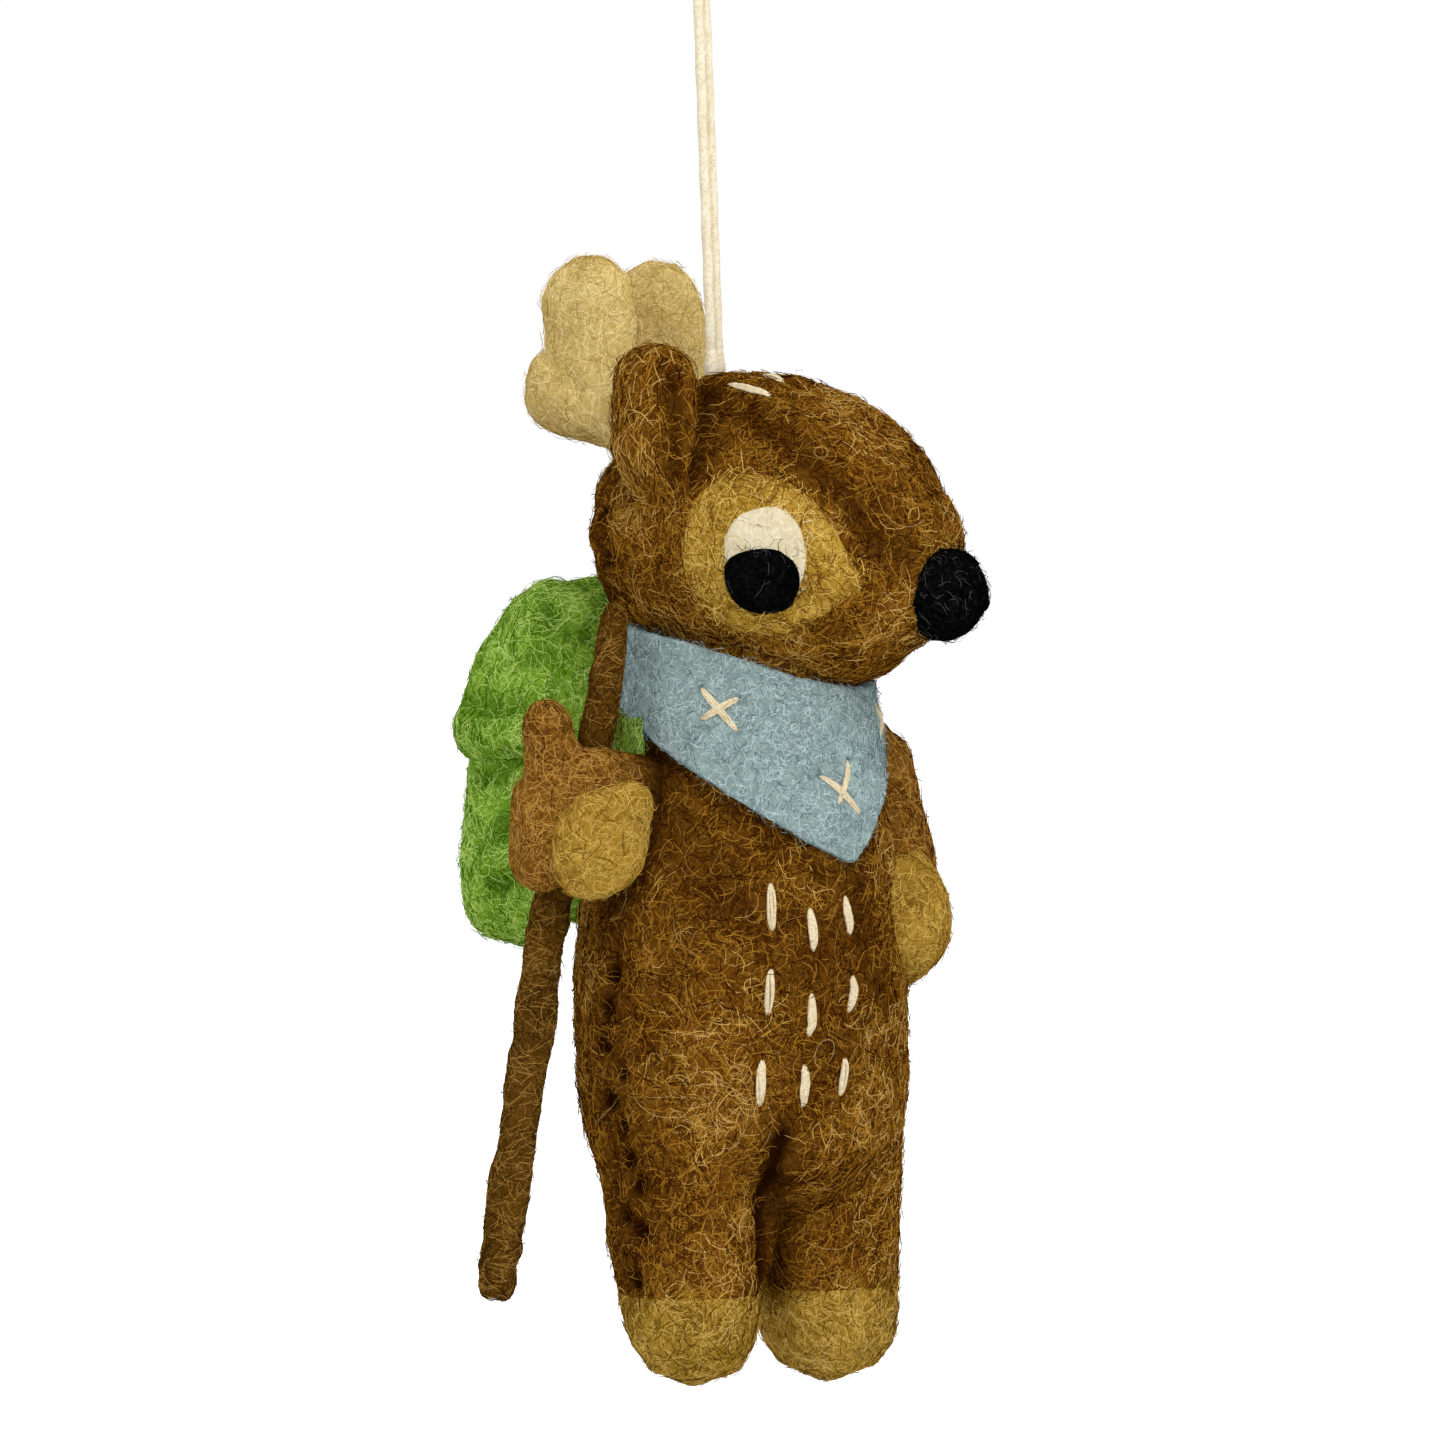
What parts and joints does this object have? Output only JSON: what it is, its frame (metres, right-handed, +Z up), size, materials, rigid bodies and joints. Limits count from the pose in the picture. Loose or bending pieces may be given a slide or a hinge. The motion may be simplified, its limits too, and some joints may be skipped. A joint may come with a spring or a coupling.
{
  "type": "fawn ornament",
  "caption": "Hanging wool felt fawn ornament with antlers, neckerchief, backpack and walking stick, on a cotton cord loop.",
  "frame": {"origin": "the underside of the top of the cord loop, where a hook carries the ornament", "axes": "+Z up along the hanging ornament, -Y the way the fawn's chest faces, +X towards the fawn's own left"},
  "size_m": [0.055, 0.0651, 0.1649],
  "materials": {
    "brown_felt": "matte",
    "stuffing": "matte",
    "hoof_wool": "matte",
    "antler_wool": "matte",
    "patch_wool": "matte",
    "white_wool": "matte",
    "black_wool": "matte",
    "green_wool": "matte",
    "blue_felt": "matte",
    "floss": "satin",
    "cord": "matte",
    "wire": "satin"
  },
  "bodies": {
    "loop": {"hanging_loop": "cord"},
    "fawn": {"body_front_felt": "brown_felt", "body_back_felt": "brown_felt", "body_stuffing": "stuffing", "leg_left_felt": "brown_felt", "leg_left_stuffing": "stuffing", "foot_hoof_left": "hoof_wool", "leg_right_felt": "brown_felt", "leg_right_stuffing": "stuffing", "foot_hoof_right": "hoof_wool", "head_left_felt": "brown_felt", "head_right_felt": "brown_felt", "head_stuffing": "stuffing", "loop_anchor_knot": "cord", "nose": "black_wool", "eye_patch_left": "patch_wool", "eye_white_left": "white_wool", "pupil_left": "black_wool", "eye_patch_right": "patch_wool", "eye_white_right": "white_wool", "pupil_right": "black_wool", "ear_left": "brown_felt", "antler_left": "antler_wool", "ear_right": "brown_felt", "antler_right": "antler_wool", "strap_left": "green_wool", "strap_right": "green_wool", "bandana": "blue_felt", "walking_stick_wool": "brown_felt", "walking_stick_wire": "wire", "arm_left": "brown_felt", "arm_right": "brown_felt", "hand_hoof_left": "hoof_wool", "hand_hoof_right": "hoof_wool", "backpack_bag": "green_wool", "backpack_flap": "green_wool", "chest_stitch_1_1": "floss", "chest_stitch_1_2": "floss", "chest_stitch_1_3": "floss", "chest_stitch_2_1": "floss", "chest_stitch_2_2": "floss", "chest_stitch_2_3": "floss", "chest_stitch_3_1": "floss", "chest_stitch_3_2": "floss", "chest_stitch_3_3": "floss", "bandana_cross_1": "floss", "bandana_cross_2": "floss", "bandana_cross_3": "floss", "crown_stitch_1": "floss", "crown_stitch_2": "floss"}
  },
  "joints": [
    {"name": "loop_swing", "type": "hinge", "parent": "loop", "child": "fawn", "pos_m": [0.00229, 0, -0.0509], "axis": [0.9063, 0.4226, 0], "range_deg": [-60, 60]}
  ]
}
